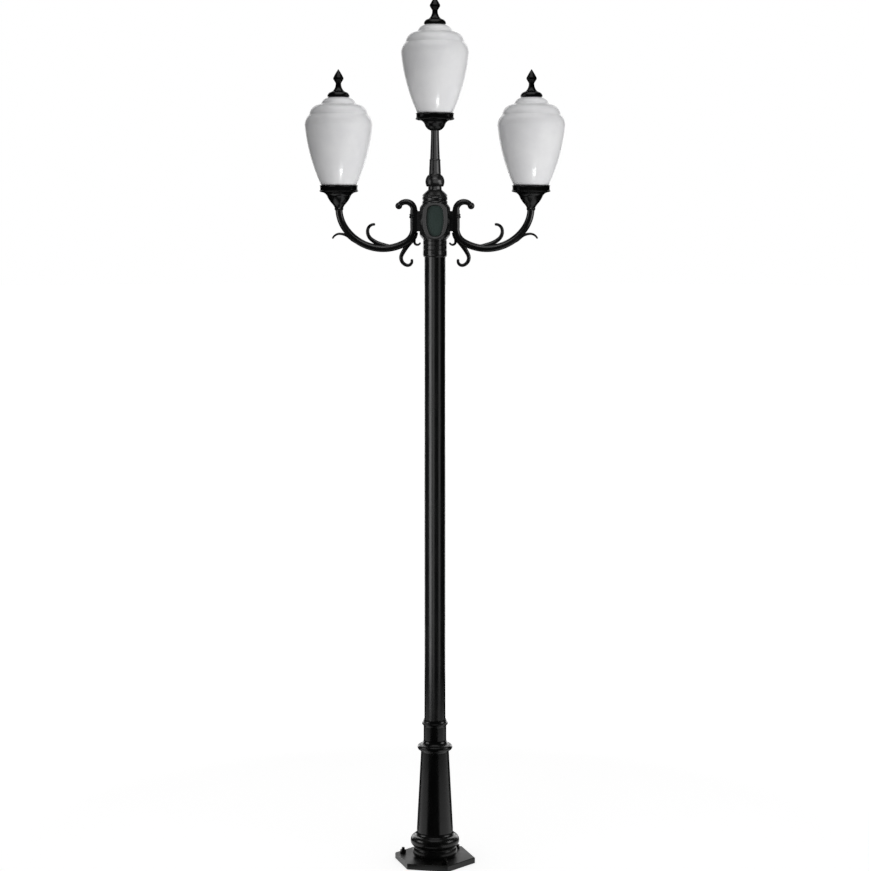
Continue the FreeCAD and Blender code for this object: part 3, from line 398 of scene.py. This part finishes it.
def opal_acrylic():
    """Blown opal acrylic: glossy and milky, denser in cloudy patches, with fine dust on top."""
    material, tree, shader = finish_tree(
        "opal_acrylic", IOR=1.49, Specular_IOR_Level=0.5, Subsurface_Weight=0.22,
        Subsurface_Radius=(0.02, 0.02, 0.021), Subsurface_Scale=0.5,
    )
    coat = use(
        tree, coat_grain,
        Peel_Size=0.05, Peel_Depth=0.00006, Grit_Size=0.004, Grit_Depth=0.0,
    )
    dust = use(tree, settled_dust, Ledge=0.22, Splash=0.0, Splash_Height=0.01)["Mask"]
    base = mix_colour(tree, over_mottle(tree, coat, 0.0, 1.0), OPAL, OPAL_DENSE)
    base = mix_colour(tree, dust, base, GLOBE_DUST)
    put(tree, shader.inputs["Base Color"], base)
    roughened = math_node(tree, "MULTIPLY", dust, DUST_ROUGHENS)
    rough = math_node(tree, "ADD", OPAL_GLOSS, roughened, clamp=True)
    put(tree, shader.inputs["Roughness"], rough)
    raise_grain(tree, shader, coat["Height"])
    return material


def frosted_glass():
    material, tree, shader = finish_tree(
        "frosted_bulb", IOR=1.5, Transmission_Weight=0.55, Specular_IOR_Level=0.5,
    )
    coat = use(
        tree, coat_grain,
        Peel_Size=0.01, Peel_Depth=0.00001, Grit_Size=0.0008, Grit_Depth=0.00001,
    )
    put(tree, shader.inputs["Base Color"], mix_colour(tree, coat["Mottle"], FROST, FROST_DENSE))
    put(tree, shader.inputs["Roughness"], over_mottle(tree, coat, *FROST_GLOSS))
    raise_grain(tree, shader, coat["Height"])
    return material


def bare_metal(name, clean, dull, gloss, **grain):
    """Plated or turned metal with dull patches and fine turning marks."""
    material, tree, shader = finish_tree(name, Metallic=1.0)
    coat = use(tree, coat_grain, **grain)
    edges = use(tree, rubbed_edges, Width=0.0005, Amount=0.5)["Mask"]
    base = mix_colour(tree, map_range(tree, coat["Mottle"], *DULL_RANGE), clean, dull)
    base = mix_colour(tree, edges, base, clean)
    put(tree, shader.inputs["Base Color"], base)
    rough = over_mottle(tree, coat, gloss, gloss + METAL_GLOSS_SPREAD)
    put(tree, shader.inputs["Roughness"], rough)
    raise_grain(tree, shader, coat["Height"])
    return material


def dull_moulding(name, clean, stained, gloss, **grain):
    """Porcelain or rubber: matt, with stains or bloom in patches."""
    material, tree, shader = finish_tree(name, Specular_IOR_Level=0.4)
    coat = use(tree, coat_grain, **grain)
    dust = use(tree, settled_dust, Ledge=0.35, Splash=0.0, Splash_Height=0.01)["Mask"]
    base = mix_colour(tree, map_range(tree, coat["Mottle"], *STAIN_RANGE), clean, stained)
    base = mix_colour(tree, dust, base, stained)
    put(tree, shader.inputs["Base Color"], base)
    rough = over_mottle(tree, coat, gloss, gloss + MOULDED_GLOSS_SPREAD)
    put(tree, shader.inputs["Roughness"], rough)
    raise_grain(tree, shader, coat["Height"])
    return material


def grain_of(peel_size, peel_depth, grit_size, grit_depth):
    """The coat_grain effect's inputs, from sizes in millimetres."""
    return {
        "Peel_Size": peel_size * MM, "Peel_Depth": peel_depth * MM,
        "Grit_Size": grit_size * MM, "Grit_Depth": grit_depth * MM,
    }


PAINT_GRAIN = grain_of(3.5, 0.02, 1.0, 0.004)
CAST_GRAIN = grain_of(6.0, 0.04, 1.4, 0.02)
TURNED_GRAIN = grain_of(2.0, 0.004, 0.4, 0.003)
MOULDED_GRAIN = grain_of(4.0, 0.02, 0.9, 0.01)

finishes = {
    "post_paint": painted(
        "black_powder_coat", BLACK_PAINT, gloss=0.22, grain=PAINT_GRAIN, wear=0.26, splash=0.06,
        Specular_IOR_Level=0.35,
    ),
    "casting_paint": painted(
        "black_cast_coat", BLACK_CASTING, gloss=0.24, grain=CAST_GRAIN, wear=0.22, splash=0.06,
        Specular_IOR_Level=0.31,
    ),
    "panel_paint": painted(
        "green_grey_panel", GREEN_GREY, gloss=0.42, grain=PAINT_GRAIN, wear=0.10, splash=0.0,
        Specular_IOR_Level=0.3,
    ),
    "opal_globe": opal_acrylic(),
    "bulb_glass": frosted_glass(),
    "bulb_cap_brass": bare_metal("brass_cap", BRASS, BRASS_DULL, 0.24, **TURNED_GRAIN),
    "plated_steel": bare_metal("zinc_plate", ZINC, ZINC_DULL, 0.28, **TURNED_GRAIN),
    "dark_steel": bare_metal("blackened_steel", BLACKENED, BLACKENED_WORN, 0.34, **TURNED_GRAIN),
    "lampholder_white": dull_moulding(
        "porcelain", PORCELAIN, PORCELAIN_STAIN, 0.38, **MOULDED_GRAIN
    ),
    "rubber_seal": dull_moulding("seal_rubber", RUBBER, RUBBER_BLOOM, 0.62, **MOULDED_GRAIN),
}
plate_paint = painted(
    "black_plate_coat", BLACK_PAINT, gloss=0.36, grain=CAST_GRAIN, wear=0.26, splash=0.06,
    Specular_IOR_Level=0.35,
)

for part in frame["record"]["subparts"]:
    dress(frame["nodes"][part["node"]], finishes[part["material_slot"]])
dress(frame["nodes"]["base_plate"], plate_paint)


# ---- threaded ends of the foundation's studs ----------------------------------------------------
def bolt_circle_places():
    """The anchor nuts' middles, found from their vertices, and the level of their tops."""
    holes = next(m for m in frame["record"]["mounts"] if m["name"] == "anchor_bolts")
    within = holes["dims"]["pcd_mm"] * MM / 4  # more than a nut, and less than halfway to the next
    vertices = [v.co for v in frame["nodes"]["anchor_nuts"].data.vertices]
    seeds = []
    for v in vertices:
        if all((v.xy - seed).length > within for seed in seeds):
            seeds.append(v.xy.copy())
    places = []
    for seed in seeds:
        near = [v.xy for v in vertices if (v.xy - seed).length < within]
        places.append(sum(near, Vector((0, 0))) / len(near))
    low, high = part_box("anchor_nuts")
    return places, high.z


def stud_end(name, centre, top):
    """A threaded rod with a helical thread, chamfered at its top."""
    mesh = bmesh.new()
    steps = int((top - STUD_FOOT) / STUD_PITCH * STUD_STEPS_PER_TURN)
    rings = []
    for i in range(steps + 1):
        z = STUD_FOOT + (top - STUD_FOOT) * i / steps
        chamfer = max(0.0, z - (top - STUD_CHAMFER))
        hoop = []
        for k in range(STUD_SIDES):
            turn = k / STUD_SIDES
            phase = (z / STUD_PITCH - turn) % 1.0
            tooth = abs(2 * phase - 1)
            r = min(STUD_R - STUD_THREAD_DEPTH * (1 - tooth), STUD_R - chamfer)
            angle = 2 * math.pi * turn
            hoop.append(mesh.verts.new((
                centre.x + r * math.cos(angle), centre.y + r * math.sin(angle), z
            )))
        rings.append(hoop)
    for lower, upper in zip(rings, rings[1:]):
        for k in range(STUD_SIDES):
            after = (k + 1) % STUD_SIDES
            mesh.faces.new((lower[k], lower[after], upper[after], upper[k]))
    mesh.faces.new(list(reversed(rings[0])))
    mesh.faces.new(rings[-1])
    piece = add_piece(name, mesh)
    for face in piece.data.polygons:
        face.use_smooth = len(face.vertices) == 4
    return piece


stud_places, nut_top = bolt_circle_places()
for number, place in enumerate(stud_places, 1):
    stud = stud_end("anchor_stud_%d" % number, place, nut_top + STUD_STANDS_OUT)
    dress(stud, finishes["dark_steel"])
    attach(stud, "post")


# ---- stage and light ----------------------------------------------------------------------------
def seen_plainly(tree):
    """1 for what the camera sees straight on, in a reflection or through glass."""
    path = node(tree, "ShaderNodeLightPath")
    seen = math_node(tree, "MAXIMUM", path.outputs["Is Camera Ray"], path.outputs["Is Glossy Ray"])
    return math_node(tree, "MAXIMUM", seen, path.outputs["Is Transmission Ray"])


def pale_floor():
    """A pale floor that keeps the shadow near the post and is plain white further out."""
    mesh = bmesh.new()
    bmesh.ops.create_circle(mesh, cap_ends=True, segments=FLOOR_SIDES, radius=FLOOR_R)
    floor = add_piece("floor", mesh)
    material, tree, shader = finish_tree("pale_floor", Roughness=0.9, Specular_IOR_Level=0.1)
    put(tree, shader.inputs["Base Color"], FLOOR_PALE)
    place = node(tree, "ShaderNodeTexCoord").outputs["Object"]
    distance = node(tree, "ShaderNodeVectorMath", operation="LENGTH")
    put(tree, distance.inputs[0], place)
    own_white = map_range(
        tree, distance.outputs["Value"], SHADOW_REACH, 2 * SHADOW_REACH, NEAR_GLOW, 1.0
    )
    glow = node(tree, "ShaderNodeEmission")
    put(tree, glow.inputs["Color"], WHITE)
    put(tree, glow.inputs["Strength"], math_node(tree, "MULTIPLY", seen_plainly(tree), own_white))
    both = node(tree, "ShaderNodeAddShader")
    put(tree, both.inputs[0], shader.outputs[0])
    put(tree, both.inputs[1], glow.outputs[0])
    tree.links.new(both.outputs[0], tree.nodes["Material Output"].inputs["Surface"])
    dress(floor, material)


def white_surroundings():
    world = bpy.data.worlds.new("studio")
    bpy.context.scene.world = world
    world.use_nodes = True
    tree = world.node_tree
    background = tree.nodes["Background"]
    put(tree, background.inputs["Color"], WHITE)
    strength = map_range(tree, seen_plainly(tree), 0.0, 1.0, AMBIENT, 1.0)
    put(tree, background.inputs["Strength"], strength)


def flag(name, one_side, other_side):
    """Black cloth between two arcs, which only reflections see, so that dark paint stays deep."""
    mesh = bmesh.new()
    near = [mesh.verts.new(one_side(k)) for k in range(FLAG_STEPS + 1)]
    far = [mesh.verts.new(other_side(k)) for k in range(FLAG_STEPS + 1)]
    for k in range(FLAG_STEPS):
        mesh.faces.new((near[k], near[k + 1], far[k + 1], far[k]))
    cloth = add_piece(name, mesh)
    material, tree, shader = finish_tree(name, Roughness=1.0, Specular_IOR_Level=0.0)
    put(tree, shader.inputs["Base Color"], CLOTH_BLACK)
    dress(cloth, material)
    cloth.visible_camera = False
    cloth.visible_diffuse = False
    cloth.visible_transmission = False
    cloth.visible_shadow = False


def arc_point(r, z, middle, spread):
    """Gives the k-th point of a level arc, which goes spread degrees to either side of its middle."""
    def point(k):
        turn = math.radians(middle + spread * (2 * k / FLAG_STEPS - 1))
        return r * math.sin(turn), -r * math.cos(turn), z
    return point


def black_flags():
    """A black wall round the front and sides, and black cloths laid round the post."""
    foot, top = (arc_point(FLAG_R, z, 0, FLAG_SPREAD) for z in (0.0, FLAG_TOP))
    flag("flag_wall", foot, top)
    for name, (height, inner_r, outer_r, middle, spread) in CLOTHS.items():
        flag(name, *(arc_point(r, height, middle, spread) for r in (inner_r, outer_r)))


def lit_only(lamp, names):
    """Keeps a lamp's light to the nodes whose names start with one of these."""
    lit = bpy.data.collections.new("lit_by_" + lamp.name)
    for name, piece in frame["nodes"].items():
        if name.startswith(names):
            lit.objects.link(piece)
    lamp.light_linking.receiver_collection = lit


def panel_light(name, width, tall, radiance):
    data = bpy.data.lights.new(name, "AREA")
    data.shape = "RECTANGLE"
    data.size = width
    data.size_y = tall
    data.energy = radiance * math.pi * width * tall
    lamp = add_object(name, data)
    lamp.visible_camera = False
    return lamp


def level_panel(name, place, width, radiance):
    """A square panel that faces down."""
    lamp = panel_light(name, width, width, radiance)
    lamp.location = place
    return lamp


def upright_panel(name, azimuth, distance, height, width, tall, radiance, axis_x=0.0):
    """A soft panel that faces an upright axis."""
    lamp = panel_light(name, width, tall, radiance)
    turn = math.radians(azimuth)
    inwards = Vector((-math.sin(turn), math.cos(turn), 0))
    lamp.location = Vector((axis_x, 0, height)) - distance * inwards
    lamp.rotation_euler = inwards.to_track_quat("-Z", "Y").to_euler()
    return lamp


def light_globes():
    """Broad light without a mirror image, and one small streak low on each globe."""
    washes = [upright_panel(name, *sizes) for name, sizes in GLOBE_WASHES.items()]
    washes.append(level_panel("floor_wash", *FLOOR_WASH))
    washes[-1].rotation_euler = (math.pi, 0, 0)
    for lamp in washes:
        lamp.visible_glossy = False
        lit_only(lamp, WASHED)
    azimuth, distance, width, tall, radiance = GLOBE_STREAK
    for globe in GLOBES:
        low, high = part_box(globe)
        height, axis_x = low.z - STREAK_BELOW, (low.x + high.x) / 2
        lamp = upright_panel(
            "streak_" + globe, azimuth, distance, height, width, tall, radiance, axis_x
        )
        lamp.visible_diffuse = False
        lit_only(lamp, (globe,))


def light_metal():
    """Panels that draw the highlights of the painted steel and castings, and one over everything."""
    for names, panels in METAL_PANELS:
        for name, sizes in panels.items():
            lit_only(upright_panel(name, *sizes), names)
    level_panel("overhead", *OVERHEAD)


def photo_camera():
    data = bpy.data.cameras.new("photo_camera")
    data.lens = CAMERA_LENS
    data.sensor_width = CAMERA_SENSOR
    camera = add_object("photo_camera", data)
    camera.location = CAMERA_PLACE
    camera.rotation_euler = (math.radians(90 - CAMERA_PITCH), 0, 0)
    bpy.context.scene.camera = camera


pale_floor()
white_surroundings()
black_flags()
light_globes()
light_metal()
photo_camera()
bpy.context.scene.view_settings.view_transform = "Standard"
